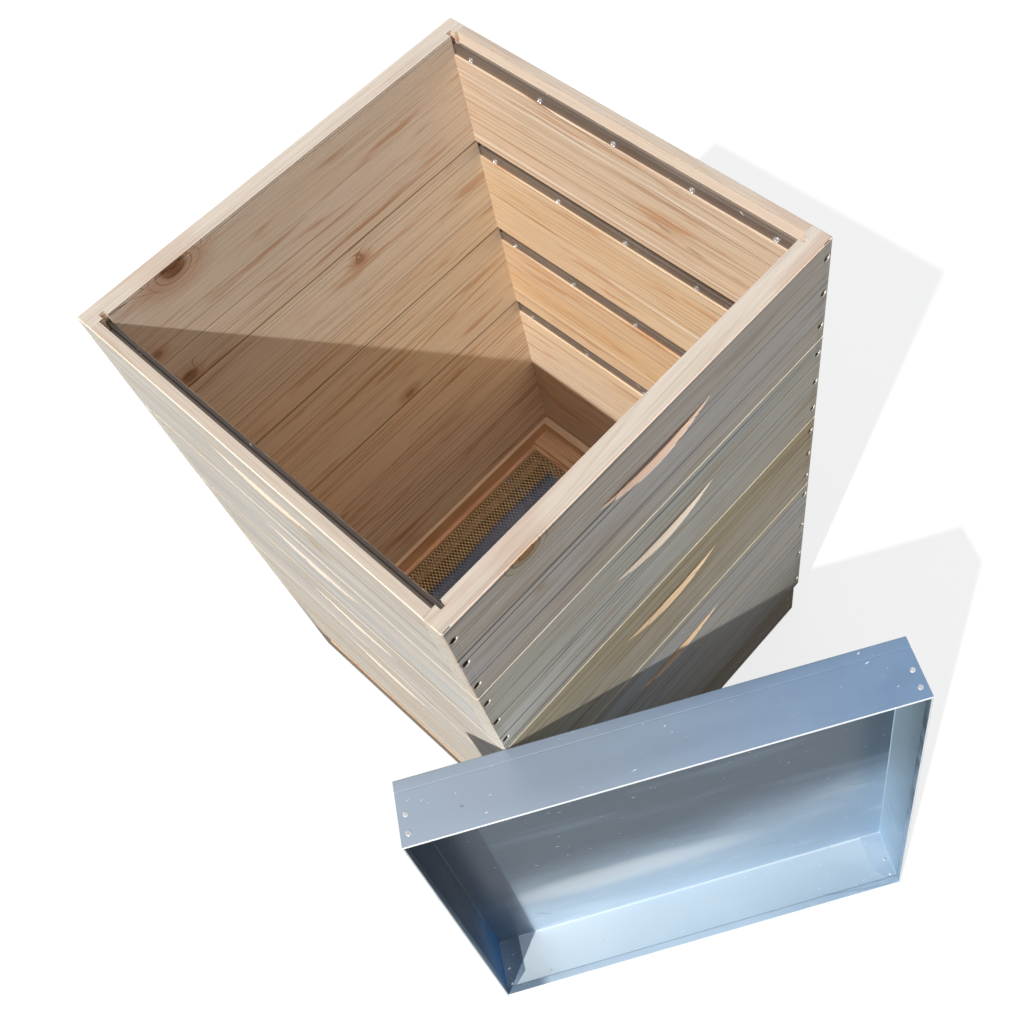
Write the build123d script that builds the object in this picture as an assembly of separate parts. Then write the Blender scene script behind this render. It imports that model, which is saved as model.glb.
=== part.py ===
from build123d import *
import math
import os

os.makedirs("parts", exist_ok=True)

# Twelve-frame beehive: a screened floor with a tray, a brood box, three supers, and a folded lid
# that leans on one corner.
# Millimetres. Z is up from the ground, the entrance faces -Y, the origin is the middle of the hive's base.

# Boxes
plan = 508.0            # outside width and depth
wall = 23.0             # board thickness
super_h = 153.0         # height of a super
brood_h = 302.0         # height of the brood box
ease = 1.5              # chamfer on the outer arrises

# Rebate along the top of the front and back boards
rim_w = 11.0            # rim left outside the rebate
shelf_drop = 17.0       # rebate's floor below the rim
leg_drop = 25.0         # lower end of the recess for the rail's leg
leg_sink = 3.5          # depth of that recess in the board's inner face

# Frame rail, one folded strip
rail_t = 1.0            # sheet
hem_drop = 12.0         # rail's top below the rim
hem_w = 4.0             # width over the folded top
bend_r = 0.9            # outside radius of its two upper bends
rail_fit = 0.3          # play between the rail and the wood
hem_reach = 6.0         # length of each rail end let into a side board
notch_play = 1.0        # play round a rail end in its notch

# Screws that hold the rails
rail_screw_n = 5
rail_screw_end = 25.5   # first and last screw from the side boards
rail_screw_rise = 4.5   # screw line above the recess's lower end
rail_head_d = 7.0
rail_head_h = 2.0
rail_shank_d = 3.0
rail_shank_len = 11.0

# Screws through the side boards into the ends of the front and back boards
corner_inset = 7.5      # from the end of the side board
row_margin = 24.0       # first and last screw from the box's top and bottom
super_rows = 3
brood_rows = 4
bore_d = 9.0
bore_depth = 5.0
head_play = 0.3         # round a head in its bore
head_h = 2.5
shank_d = 4.5
screw_len = 55.0        # with the head

# Sides of the prisms that stand for round fasteners
head_sides = 12
shank_sides = 6
head_taper = 30.0       # degrees

# Handholds, half moons with a level upper ledge
hand_len = 154.0
hand_h = 25.0
hand_depth = 12.0
super_hand_drop = 51.0  # ledge below the top of a super
brood_hand_drop = 63.0  # ledge below the top of the brood box

# Floor
low_h = 36.0            # lower frame
up_h = 36.0             # upper frame
floor_short = 10.0      # floor's back end stands in from the boxes
skid_w = 46.0           # lower side pieces
up_rail_w = 29.0        # upper side pieces
back_rail_t = 24.0
entrance_h = 20.0
batten_w = 28.0
batten_h = 12.0
bar_ledge = 12.5        # of the front and back bars, under the mesh
strip_w = 6.0           # strips that hold the mesh down
strip_h = 5.0

# Mesh
mesh_t = 1.2
mesh_play = 0.5         # round the panel's edge
mesh_cols = 8           # diamond openings from side to side
mesh_rows = 13          # and from front to back
mesh_strand = 3.0       # metal between two openings

# Tray
slot_h = 20.0           # height of the tray's slot
runner_w = 12.0
runner_h = 8.0
slat_w = 50.0           # slat between the runners, under the tray's middle
tray_t = 1.0
tray_play = 1.5         # at each side and in front
tray_rim = 8.0          # height of its turned-up edges
tray_back = 10.5        # height of its back edge
tray_grip = 12.0        # width of the lip for the fingers

# Lid
lid_play = 13.0         # round the boxes when it is on
lid_t = 1.0
skirt_h = 72.0
lid_hem = 10.0          # hem turned in along the rim
crease_at = 13.0        # crease on the skirt, from the top sheet
crease_w = 1.2
crease_d = 0.4
tab_len = 28.0          # corner laps
tab_cut = 14.0          # cut-off corner of a lap
rivet_inset = 8.5
rivet_first = 38.0      # from the top sheet
rivet_pitch = 20.0
rivet_d = 6.0
rivet_shank_d = 4.0
rivet_h = 1.2
lid_heading = 56.7      # direction of its upper edge, in degrees from +X
lid_lean = 7.7          # degrees from upright
lid_touch = 117.0       # from its end to the point that touches the hive's corner
lid_gap = 0.3

over = 1.0              # run of a cutter past the face it cuts

half = plan / 2
inner = half - wall
floor_h = low_h + up_h


def block(x0, x1, y0, y1, z0, z1):
    return Pos((x0 + x1) / 2, (y0 + y1) / 2, (z0 + z1) / 2) * Box(x1 - x0, y1 - y0, z1 - z0)


# Fasteners and their bores are many-sided prisms, because there are so many of them
def rod_x(radius, sides, x0, x1, y, z):
    end = Plane(origin=(x0, y, z), x_dir=(0, 1, 0), z_dir=(1, 0, 0))
    return extrude(end * RegularPolygon(radius, sides), x1 - x0, dir=(1, 0, 0))


def rod_y(radius, sides, x, y0, y1, z):
    end = Plane(origin=(x, y0, z), x_dir=(1, 0, 0), z_dir=(0, 1, 0))
    return extrude(end * RegularPolygon(radius, sides), y1 - y0, dir=(0, 1, 0))


# A low head on a face that looks along +Y, tapering outwards
def button_y(radius, height, x, y, z):
    base = Plane(origin=(x, y, z), x_dir=(1, 0, 0), z_dir=(0, 1, 0))
    return extrude(base * RegularPolygon(radius, head_sides), height, taper=head_taper)


def save(name, *solids):
    shape = solids[0] if len(solids) == 1 else Compound(children=list(solids))
    export_step(shape, "parts/" + name + ".step")


def eased(y0, y1, z0, z1):
    return chamfer(block(-half, half, y0, y1, z0, z1).edges(), ease)


# A wood screw driven along X from the outside of a side board, side being +1 or -1
def screw_x(side, y, z):
    seat = half - bore_depth
    tip = seat + head_h - screw_len
    head = rod_x(bore_d / 2 - head_play, head_sides, seat, seat + head_h, y, z)
    solid = head + rod_x(shank_d / 2, shank_sides, tip, seat, y, z)
    return solid if side > 0 else mirror(solid, Plane.YZ)


def bore_x(side, y, z):
    solid = rod_x(bore_d / 2, head_sides, half - bore_depth, half + over, y, z)
    return solid if side > 0 else mirror(solid, Plane.YZ)


# The handhold's cutter stands outside the right face; the cone leaves a level ledge and a curved lower edge
hand_r = (hand_len ** 2 / 4 + hand_depth ** 2) / (2 * hand_depth)


def hand_cutter(turn, ledge_z):
    cone = Cone(hand_r - hand_depth, hand_r, hand_h)
    return Rot(0, 0, turn) * Pos(half + hand_r - hand_depth, 0, ledge_z - hand_h / 2) * cone


# Section of a front rail: y from the board's outer face, z from the rim
leg_in = wall - leg_sink + rail_t
lip_out = leg_in - hem_w


def rail_section():
    points = [
        (rim_w + rail_fit, -shelf_drop),
        (lip_out + rail_t, -shelf_drop),
        (lip_out + rail_t, -hem_drop - rail_t),
        (leg_in - rail_t, -hem_drop - rail_t),
        (leg_in - rail_t, -leg_drop + rail_fit),
        (leg_in, -leg_drop + rail_fit),
        (leg_in, -hem_drop),
        (lip_out, -hem_drop),
        (lip_out, -shelf_drop + rail_t),
        (rim_w + rail_fit, -shelf_drop + rail_t),
    ]
    face = make_face(Polyline(*points, close=True))
    top = [v for v in face.vertices() if abs(v.Y + hem_drop) < rail_t / 2]
    return fillet(top, bend_r)


# The flange stops at the side boards, and the folded top runs on into their notches
def rail(top_z):
    reach = inner + hem_reach
    place = Plane(origin=(-reach, -half, top_z), x_dir=(0, 1, 0), z_dir=(1, 0, 0))
    strip = extrude(place * rail_section(), 2 * reach, dir=(1, 0, 0))
    flange_end = block(inner - rail_fit, half, -half, -half + lip_out, top_z - leg_drop, top_z)
    strip -= flange_end
    strip -= mirror(flange_end, Plane.YZ)
    return strip


def hive_box(name, z0, height, rows, hand_drop):
    z1 = z0 + height
    shell = eased(-half, half, z0, z1)
    row_pitch = (height - 2 * row_margin) / (rows - 1)
    row_z = [z0 + row_margin + i * row_pitch for i in range(rows)]
    screw_y = half - corner_inset
    seats = [(s, y, z) for s in (1, -1) for y in (screw_y, -screw_y) for z in row_z]

    # Side board: full length, with notches for the rail ends and bores for the screws
    side = block(inner, half, -half, half, z0, z1) & shell
    side -= hand_cutter(0, z1 - hand_drop)
    notch = block(inner - over, inner + hem_reach + notch_play, -half + lip_out - notch_play,
                  -half + leg_in + notch_play, z1 - leg_drop, z1 + over)
    side -= notch
    side -= mirror(notch, Plane.XZ)
    for s, y, z in seats:
        if s > 0:
            side -= bore_x(s, y, z)
    save(name + "_right_side", side)
    save(name + "_left_side", mirror(side, Plane.YZ))

    # Front board: between the sides, with the rebate and the recess for the rail
    front = block(-inner, inner, -half, -inner, z0, z1) & shell
    front -= hand_cutter(-90, z1 - hand_drop)
    front -= block(-half, half, -half + rim_w, 0, z1 - shelf_drop, z1 + over)
    front -= block(-half, half, -inner - leg_sink, 0, z1 - leg_drop, z1 + over)
    save(name + "_front_board", front)
    save(name + "_back_board", mirror(front, Plane.XZ))

    front_rail = rail(z1)
    save(name + "_front_rail", front_rail)
    save(name + "_back_rail", mirror(front_rail, Plane.XZ))

    # Round-headed screws through the rail's leg
    pitch = 2 * (inner - rail_screw_end) / (rail_screw_n - 1)
    leg_y = -half + leg_in
    screw_z = z1 - leg_drop + rail_screw_rise
    rail_screws = []
    for i in range(rail_screw_n):
        x = rail_screw_end - inner + i * pitch
        head = button_y(rail_head_d / 2, rail_head_h, x, leg_y, screw_z)
        one = head + rod_y(rail_shank_d / 2, shank_sides, x, leg_y - rail_shank_len, leg_y, screw_z)
        rail_screws += [one, mirror(one, Plane.XZ)]
    save(name + "_rail_screws", *rail_screws)
    save(name + "_corner_screws", *[screw_x(s, y, z) for s, y, z in seats])


# Floor, lower frame: two skids, a front bar, and a back bar with the tray's slot under it
back_y = half - floor_short
skid_in = half - skid_w
up_in = half - up_rail_w
rail_y = back_y - back_rail_t
batten_y = rail_y - batten_w
low_shell = eased(-half, back_y, 0, low_h)
up_shell = eased(-half, back_y, low_h, floor_h)
front_bar_y = -inner + bar_ledge
back_bar_y = batten_y - bar_ledge
sill_z = floor_h - entrance_h

# One screw at each end of the front bar, back bar, sill and back rail
floor_seats = [
    (-half + wall / 2, low_h / 2),
    (back_y - back_rail_t / 2, (slot_h + low_h) / 2),
    (-half + wall / 2, (low_h + sill_z) / 2),
    (back_y - back_rail_t / 2, (low_h + floor_h) / 2),
]

skid = block(skid_in, half, -half, back_y, 0, low_h) & low_shell
up_rail = block(up_in, half, -half, back_y, low_h, floor_h) & up_shell
for y, z in floor_seats:
    if z < low_h:
        skid -= bore_x(1, y, z)
    else:
        up_rail -= bore_x(1, y, z)
save("floor_right_skid", skid)
save("floor_left_skid", mirror(skid, Plane.YZ))
save("floor_front_bar", block(-skid_in, skid_in, -half, front_bar_y, 0, low_h) & low_shell)
save("floor_back_bar", block(-skid_in, skid_in, back_bar_y, back_y, slot_h, low_h) & low_shell)

# Floor, upper frame, with the entrance left open above the sill
save("floor_right_rail", up_rail)
save("floor_left_rail", mirror(up_rail, Plane.YZ))
save("floor_back_rail", block(-up_in, up_in, rail_y, back_y, low_h, floor_h) & up_shell)
save("floor_sill", block(-up_in, up_in, -half, -inner, low_h, sill_z) & eased(-half, back_y, low_h, sill_z))
save("floor_screws", *[screw_x(s, y, z) for s in (1, -1) for y, z in floor_seats])

# Expanded metal mesh on the lower frame's ledges, with staggered diamond openings
mesh_z = low_h + mesh_t
mesh = block(-up_in + mesh_play, up_in - mesh_play, -inner + mesh_play, rail_y - mesh_play, low_h, mesh_z)
open_x = 2 * skid_in
open_y = back_bar_y - front_bar_y
cell_x = open_x / mesh_cols
cell_y = open_y / mesh_rows
cell_in_r = cell_x * cell_y / math.hypot(cell_x, cell_y) / 2
open_share = 1 - mesh_strand / 2 / cell_in_r
gap_x = cell_x / 2 * open_share
gap_y = cell_y / 2 * open_share
with BuildSketch(Plane.XY.offset(low_h)) as gaps:
    with Locations((0, (front_bar_y + back_bar_y) / 2)):
        for fewer in (0, 1):
            with GridLocations(cell_x, cell_y, mesh_cols - fewer, mesh_rows - fewer):
                Polygon((gap_x, 0), (0, gap_y), (-gap_x, 0), (0, -gap_y))
mesh -= extrude(gaps.sketch, mesh_t)
save("mesh_panel", mesh)

# Strips that clamp the mesh, and the batten behind them
strip_top = mesh_z + strip_h
side_strip = block(up_in - strip_w, up_in, -inner, batten_y, mesh_z, strip_top)
save("mesh_strip_right", side_strip)
save("mesh_strip_left", mirror(side_strip, Plane.YZ))
save("mesh_strip_front", block(-up_in + strip_w, up_in - strip_w, -inner, -inner + strip_w, mesh_z, strip_top))
save("mesh_strip_back", block(-up_in + strip_w, up_in - strip_w, batten_y - strip_w, batten_y, mesh_z, strip_top))
save("floor_batten", block(-up_in, up_in, batten_y, rail_y, mesh_z, mesh_z + batten_h))

# Runners on the skids' inner faces, a slat between them, and the tray that slides on all three
runner = block(skid_in - runner_w, skid_in, front_bar_y, back_y, 0, runner_h)
save("tray_runner_right", runner)
save("tray_runner_left", mirror(runner, Plane.YZ))
slat_x = skid_in - runner_w
save("tray_slat", block(-slat_x, slat_x, -slat_w / 2, slat_w / 2, 0, runner_h))

tray_x = skid_in - tray_play
tray_y0 = front_bar_y + tray_play
sheet_top = runner_h + tray_t
edge_top = runner_h + tray_rim
back_top = runner_h + tray_back
save("tray_sheet", block(-tray_x, tray_x, tray_y0, back_y, runner_h, sheet_top))
side_edge = block(tray_x - tray_t, tray_x, tray_y0, back_y - tray_t, sheet_top, edge_top)
save("tray_right_edge", side_edge)
save("tray_left_edge", mirror(side_edge, Plane.YZ))
edge_x = tray_x - tray_t
save("tray_front_edge", block(-edge_x, edge_x, tray_y0, tray_y0 + tray_t, sheet_top, edge_top))
save("tray_back_edge", block(-tray_x, tray_x, back_y - tray_t, back_y, sheet_top, back_top))
save("tray_grip", block(-tray_x, tray_x, back_y, back_y + tray_grip, back_top - tray_t, back_top))

# Boxes, from the floor up
hive_box("brood", floor_h, brood_h, brood_rows, brood_hand_drop)
super_z = floor_h + brood_h
for i in range(3):
    hive_box("super_" + str(i + 1), super_z + i * super_h, super_h, super_rows, super_hand_drop)

# Lid, drawn flat with its top sheet at z = 0 and one edge along y = 0, then set against the hive's corner
lid = plan + 2 * (lid_play + lid_t)
lid_half = lid / 2
rim_in = 2 * lid_t
pan = block(-lid_half, lid_half, 0, lid, 0, skirt_h)
tab_top = skirt_h - lid_hem
tab_outline = Polyline(
    (lid_half, 0),
    (lid_half - tab_len, 0),
    (lid_half - tab_len, tab_top - tab_cut),
    (lid_half - tab_len + tab_cut, tab_top),
    (lid_half, tab_top),
    close=True,
)
tab_plane = Plane(origin=(0, 0, 0), x_dir=(1, 0, 0), z_dir=(0, -1, 0))
tab = extrude(tab_plane * make_face(tab_outline), 2 * lid_t, dir=(0, 1, 0))
hollow = block(-lid_half + lid_t, lid_half - lid_t, lid_t, lid - lid_t, lid_t, tab_top)
for one in (tab, mirror(tab, Plane.YZ)):
    hollow -= one
    hollow -= mirror(one, Plane.XZ.offset(-lid_half))
pan -= hollow
pan -= block(-lid_half + rim_in, lid_half - rim_in, rim_in, lid - rim_in, lid_t, skirt_h + over)
crease = block(-lid, lid, -lid, 2 * lid, crease_at, crease_at + crease_w)
crease -= block(-lid_half + crease_d, lid_half - crease_d, crease_d, lid - crease_d, 0, skirt_h)
pan -= crease

# Rivets through the skirts and the laps behind them
rivets = []
for x in (lid_half - rivet_inset, rivet_inset - lid_half):
    for z in (rivet_first, rivet_first + rivet_pitch):
        head = button_y(rivet_d / 2, rivet_h, x, lid, z)
        one = head + rod_y(rivet_shank_d / 2, shank_sides, x, lid - 2 * lid_t - rivet_h, lid, z)
        rivets += [one, mirror(one, Plane.XZ.offset(-lid_half))]

# The upper edge of the top sheet meets the hive's near corner, and the lower edge stands on the ground
turn = math.radians(lid_heading)
lean = math.radians(lid_lean)
along = Vector(math.cos(turn), math.sin(turn), 0)
away = Vector(math.sin(turn), -math.cos(turn), 0)
up_sheet = Vector(0, 0, math.cos(lean)) - away * math.sin(lean)
outward = along.cross(up_sheet)
corners = [Vector(half, ease - half, 0), Vector(half - ease, -half, 0)]
touch = max(corners, key=lambda c: c.dot(away)) + away * lid_gap
upper_mid = touch - along * (lid_touch - lid_half)
lower_mid = upper_mid - up_sheet * lid
lid_place = Plane(origin=(lower_mid.X, lower_mid.Y, 0), x_dir=along, z_dir=outward)
save("lid_pan", lid_place * pan)
save("lid_rivets", *[lid_place * r for r in rivets])
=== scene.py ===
import math
from types import SimpleNamespace

import bpy
import numpy as np
from mathutils import Matrix, Vector


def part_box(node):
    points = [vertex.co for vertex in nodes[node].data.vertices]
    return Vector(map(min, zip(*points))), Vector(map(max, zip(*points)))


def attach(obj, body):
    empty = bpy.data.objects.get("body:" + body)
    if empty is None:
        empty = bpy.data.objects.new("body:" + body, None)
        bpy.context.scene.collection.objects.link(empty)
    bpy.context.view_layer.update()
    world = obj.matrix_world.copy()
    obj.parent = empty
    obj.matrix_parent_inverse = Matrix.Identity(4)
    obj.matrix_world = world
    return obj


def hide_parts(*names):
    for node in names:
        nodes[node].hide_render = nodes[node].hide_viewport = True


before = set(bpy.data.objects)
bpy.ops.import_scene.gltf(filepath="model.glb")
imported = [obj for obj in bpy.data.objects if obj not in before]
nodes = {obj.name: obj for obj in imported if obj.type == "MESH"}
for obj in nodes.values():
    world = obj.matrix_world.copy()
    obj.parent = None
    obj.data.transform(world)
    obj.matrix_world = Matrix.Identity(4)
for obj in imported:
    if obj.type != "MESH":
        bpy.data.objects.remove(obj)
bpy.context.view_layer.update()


# Floor, lower frame
# Two planed pine skids and two cross bars, screwed together, carry the hive.
# The wood has never been painted; the ledges under the mesh carry a painted shade.
class Field:
    """A number that varies over a surface. Each sum, product or function of fields adds one node."""

    def __init__(self, tree, socket):
        self.tree = tree
        self.socket = socket

    def math(self, operation, *others):
        node = self.tree.nodes.new("ShaderNodeMath")
        node.operation = operation
        for socket, value in zip(node.inputs, (self, *others)):
            plug(self.tree, socket, value)
        return Field(self.tree, node.outputs[0])

    def __add__(self, other):
        return self.math("ADD", other)

    def __sub__(self, other):
        return self.math("SUBTRACT", other)

    def __mul__(self, other):
        return self.math("MULTIPLY", other)

    def __truediv__(self, other):
        return self.math("DIVIDE", other)

    def root(self):
        return self.math("SQRT")

    def size(self):
        return self.math("ABSOLUTE")

    def whole(self):
        return self.math("FLOOR")

    def above(self, level):
        return self.math("GREATER_THAN", level)

    def below(self, level):
        return self.math("LESS_THAN", level)

    def larger(self, other):
        return self.math("MAXIMUM", other)

    def flip(self):
        return self.math("MULTIPLY_ADD", -1.0, 1.0)

    def ramp(self, low, high):
        """0 below low, 1 above high, and a smooth step between them."""
        node = self.tree.nodes.new("ShaderNodeMapRange")
        node.interpolation_type = "SMOOTHSTEP"
        plug(self.tree, node.inputs["Value"], self)
        node.inputs["From Min"].default_value = low
        node.inputs["From Max"].default_value = high
        return Field(self.tree, node.outputs["Result"])


def plug(tree, socket, value):
    """Links a field to a socket, or sets a plain value on it."""
    if isinstance(value, Field):
        tree.links.new(value.socket, socket)
    else:
        socket.default_value = value


def paint(red, green, blue):
    """A colour given as it looks on a screen, 0 to 255, as the linear colour that a socket holds."""
    share = np.array([red, green, blue]) / 255
    linear = np.where(share <= 0.04045, share / 12.92, ((share + 0.055) / 1.055) ** 2.4)
    return (*linear.tolist(), 1.0)


class Finish:
    """The nodes that work out the colour, gloss and relief of a material, or the light of a world."""

    def __init__(self, owner):
        self.owner = owner
        owner.use_nodes = True
        self.tree = owner.node_tree

    def add(self, kind, settings=(), **inputs):
        node = self.tree.nodes.new(kind)
        for key, value in dict(settings).items():
            setattr(node, key, value)
        for key, value in inputs.items():
            plug(self.tree, node.inputs[key.replace("_", " ")], value)
        return node

    def where(self):
        """The point's X, Y and Z on the object, in metres."""
        place = self.add("ShaderNodeTexCoord")
        return self.split(Field(self.tree, place.outputs["Object"]))

    def split(self, vector):
        node = self.add("ShaderNodeSeparateXYZ", Vector=vector)
        return [Field(self.tree, socket) for socket in node.outputs]

    def point(self, x, y, z):
        return Field(self.tree, self.add("ShaderNodeCombineXYZ", X=x, Y=y, Z=z).outputs[0])

    def noise(self, x, y, z, detail=2.0, rough=0.5):
        """Cloudy noise from 0 to 1 whose grains are about one unit of x, y and z."""
        place = self.point(x, y, z)
        node = self.add("ShaderNodeTexNoise", Vector=place, Scale=1.0, Detail=detail, Roughness=rough)
        return Field(self.tree, node.outputs[0])

    def chance(self, number):
        """A random share that is the same wherever the number is."""
        node = self.add("ShaderNodeTexWhiteNoise", {"noise_dimensions": "1D"}, W=number)
        return Field(self.tree, node.outputs["Value"])

    def mix(self, share, first, second, blend="MIX"):
        node = self.add("ShaderNodeMix", {"data_type": "RGBA", "blend_type": blend})
        for socket, value in zip((node.inputs[0], node.inputs[6], node.inputs[7]), (share, first, second)):
            plug(self.tree, socket, value)
        return Field(self.tree, node.outputs[2])

    def lay(self, colour, *layers):
        """Lays (share, colour) pairs over a colour, one after another."""
        for share, layer in layers:
            colour = self.mix(share, colour, layer)
        return colour

    def bands(self, height, levels, tones):
        """One tone above each level, and the first tone below them all as well."""
        colour = tones[0]
        for level, tone in zip(levels[1:], tones[1:]):
            colour = self.mix(height.above(level), colour, tone)
        return colour

    def look(self, colour, rough, relief, depth, metal=0.0, specular=0.5):
        """Gives the shader its colour and gloss, and a relief of this depth in metres."""
        shader = self.tree.nodes["Principled BSDF"]
        plug(self.tree, shader.inputs["Base Color"], colour)
        plug(self.tree, shader.inputs["Roughness"], rough)
        shader.inputs["Metallic"].default_value = metal
        shader.inputs["Specular IOR Level"].default_value = specular
        bump = self.add("ShaderNodeBump", Height=relief, Distance=depth)
        self.tree.links.new(bump.outputs[0], shader.inputs["Normal"])
        return self.owner


STAVE = 0.052
STAVE_UNEVEN = 0.8
OTHER_BOARD = 41.7
NEXT_BOX = 17.3
KNOT_STRETCH = 1.5
RING_LEAST = 0.0052
RING_MORE = 0.0046
BORE_REACH = 0.0054
NOWHERE = 9.0
# How deep the tone of one face reaches into the wood.
SKIN = 0.0004
RIM_SKIN = 0.0005
LEDGE_SKIN = 0.0006


def with_knots(grain, radius, knots):
    """Knots in the rings. Each is an ellipse (side of the hive, along, up, size): the rings swell round
    it, its core is brown, a halo of amber lies round that, and fine rings whirl about it."""
    core = halo = whorl = grain.along * 0.0
    for hand, knot_along, knot_up, size in knots:
        near = (grain.depth * hand).above(0.0)
        inside = near * grain.top.flip()
        aside = (grain.along - knot_along) / KNOT_STRETCH
        above = grain.across - knot_up
        far = (aside * aside + above * above).root() / size
        swell = far.ramp(0.0, 3.4).flip() * inside
        radius = radius + swell * swell * size * 2.2
        spot = (far + grain.ripple * 0.9).ramp(0.45, 1.05).flip() * inside * min(0.9, size * 75)
        tinge = (far + grain.sway * 3.0).ramp(0.8, 2.6).flip() * near
        whirl = (far * 15.0 + grain.sway * 8.0 + grain.ripple * 5.0).math("SINE").ramp(0.5, 0.95)
        turns = whirl * far.ramp(0.9, 1.9).flip() * inside * min(0.8, size * 55)
        core = core.larger(spot)
        halo = halo.larger(tinge)
        whorl = whorl.larger(turns)
    return radius, core, halo, whorl


def pine_grain(finish, axes, heart, rim, joints, knots):
    """The figure of boards glued up from staves of several widths, each with three random shares. A
    stave's rings are the distance from its own pith, which lies beside the board and runs nearly along it,
    pushed about by slow noise and by knots. Each ring darkens slowly and ends in a thin dark line, some
    of them missing. Blots, hairlines, glints, veins and fine fibres are noise drawn out along the grain."""
    place = dict(zip("XYZ", finish.where()))
    along, across, depth = (place[axis] for axis in axes)
    top = place["Z"].above(rim)
    lane = across / STAVE + depth.above(0.0) * OTHER_BOARD
    for level in joints:
        lane = lane + across.above(level) * NEXT_BOX
    cells = {"voronoi_dimensions": "1D"}
    edges = {"voronoi_dimensions": "1D", "feature": "DISTANCE_TO_EDGE"}
    cell = finish.add("ShaderNodeTexVoronoi", cells, W=lane, Scale=1.0, Randomness=STAVE_UNEVEN)
    edge = finish.add("ShaderNodeTexVoronoi", edges, W=lane, Scale=1.0, Randomness=STAVE_UNEVEN)
    one, two, three = finish.split(Field(finish.tree, cell.outputs["Color"]))
    local = (lane - Field(finish.tree, cell.outputs["W"])) * STAVE
    glue = Field(finish.tree, edge.outputs["Distance"]).ramp(0.003, 0.016).flip()
    shifted = along + one * 9.0

    def drawn_out(lengthwise, crosswise, shift=0.0, **kind):
        """Noise with so many grains to the metre along the board, and so many across it."""
        return finish.noise(shifted * lengthwise + shift, across * crosswise, depth * crosswise, **kind)

    sway = drawn_out(2.1, 8, detail=1.5) - 0.5
    ripple = drawn_out(9, 40) - 0.5
    grain = SimpleNamespace(
        place=place, along=along, across=across, depth=depth, top=top, shifted=shifted, drawn_out=drawn_out,
        one=one, two=two, three=three, glue=glue, sway=sway, ripple=ripple,
    )
    up = local + two * 0.09 + 0.035 + along * (three - 0.5) * 0.07
    out = depth.size() - heart + one * 0.05 + 0.03 + along * (two - 0.5) * 0.06
    radius = (up * up + out * out).root() + sway * 0.012 + ripple * 0.0022
    grain.radius, grain.core, grain.halo, grain.whorl = with_knots(grain, radius, knots)

    ring = grain.radius / (three * RING_MORE + RING_LEAST)
    year = ring.whole()
    part = ring - year
    fade = part.ramp(0.97, 1.0).flip()
    steep = (up.size() / grain.radius).ramp(0.12, 0.42)
    grain.late = part.ramp(0.15, 0.97) * fade
    grain.line = part.ramp(0.84, 0.94) * fade * steep * finish.chance(year + one * 57.0).ramp(0.3, 0.95)
    grain.fibre = drawn_out(14, 800, detail=3.0, rough=0.6)
    grain.cloud = drawn_out(2.2, 17, detail=3.0).ramp(0.3, 0.72)
    grain.blot = drawn_out(6.0, 52, detail=3.0, rough=0.6).ramp(0.55, 0.69)
    grain.hair = drawn_out(1.3, 200, detail=1.0).ramp(0.65, 0.69)
    grain.glint = drawn_out(1.0, 170, shift=5.0, detail=1.0).ramp(0.67, 0.71)
    thread = drawn_out(0.9, 62, shift=2.0, detail=1.5) - 0.5
    broken = drawn_out(3.1, 10, detail=1.0).ramp(0.42, 0.6)
    grain.vein = thread.size().ramp(0.003, 0.013).flip() * broken
    return grain


def bare_pine(finish, grain, tones, rim, joints, knots):
    """Planed pine: a tone for each stave and each box, with painted light that pales it towards the rim and
    painted shade that deepens it lower down, and the figure laid over it in darker and lighter tones."""
    # Painted light and shade: paler towards the rim, under the open top, and deeper and warmer lower down.
    lit_near_rim = grain.place["Z"].ramp(rim - 0.25, rim - 0.02)
    colour = finish.mix(grain.one, tones["cream"], tones["gold"])
    colour = finish.mix(grain.three.ramp(0.4, 0.75) * 0.75, colour, tones["tan"])
    if joints:
        colour = finish.mix(0.45, colour, finish.bands(grain.across, joints, tones["boards"]))
    colour = finish.lay(
        colour,
        (lit_near_rim * 0.5 + 0.12, tones["tan"]),
        (grain.late * 0.1 + grain.cloud * 0.15 + lit_near_rim.flip() * 0.1, tones["deep"]),
        (grain.blot * 0.52, tones["amber"]),
        (grain.line * 0.78, tones["line"]),
        (grain.hair * 0.34, tones["line"]),
        (grain.vein * 0.42, tones["line"]),
        (grain.glint * 0.5, tones["glint"]),
        (grain.glue * 0.6, finish.mix(grain.two.above(0.6), tones["line"], tones["glint"])),
    )
    if knots:
        rings = (grain.radius / 0.0022).math("SINE") * 0.5 + 0.5
        colour = finish.lay(
            colour,
            (grain.halo * 0.4, tones["amber"]),
            (grain.whorl * 0.6, tones["line"]),
            (grain.core, finish.mix(rings, paint(96, 62, 38), paint(158, 112, 74))),
        )
    return colour


def cut_open(finish, grain, colour, tones, joints, cut, bores):
    """Fresh wood in the handholds, painted light and shade in the bores (one flank pale, the other dark),
    and painted shade in the gap under each box.
    """
    aside = grain.along - grain.along.math("SIGN") * bores
    bore = aside.size().below(BORE_REACH) * cut
    for level in joints:
        # Painted shade in the gap under each box.
        gap_shade = (grain.across - level).size().ramp(0.0004, 0.0016).flip()
        bore = bore * gap_shade.flip()
        colour = finish.mix(gap_shade * 0.8, colour, paint(96, 64, 42))
    # Painted light and shade in the bores: one flank pale as if sunlit, the other dark.
    bore_light_and_shade = finish.mix(aside.above(0.0026), paint(52, 44, 38), paint(252, 246, 238))
    return finish.lay(
        colour,
        (cut * 0.9, finish.bands(grain.across, joints, tones["cuts"])),
        (bore * 0.9, bore_light_and_shade),
    )


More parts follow.
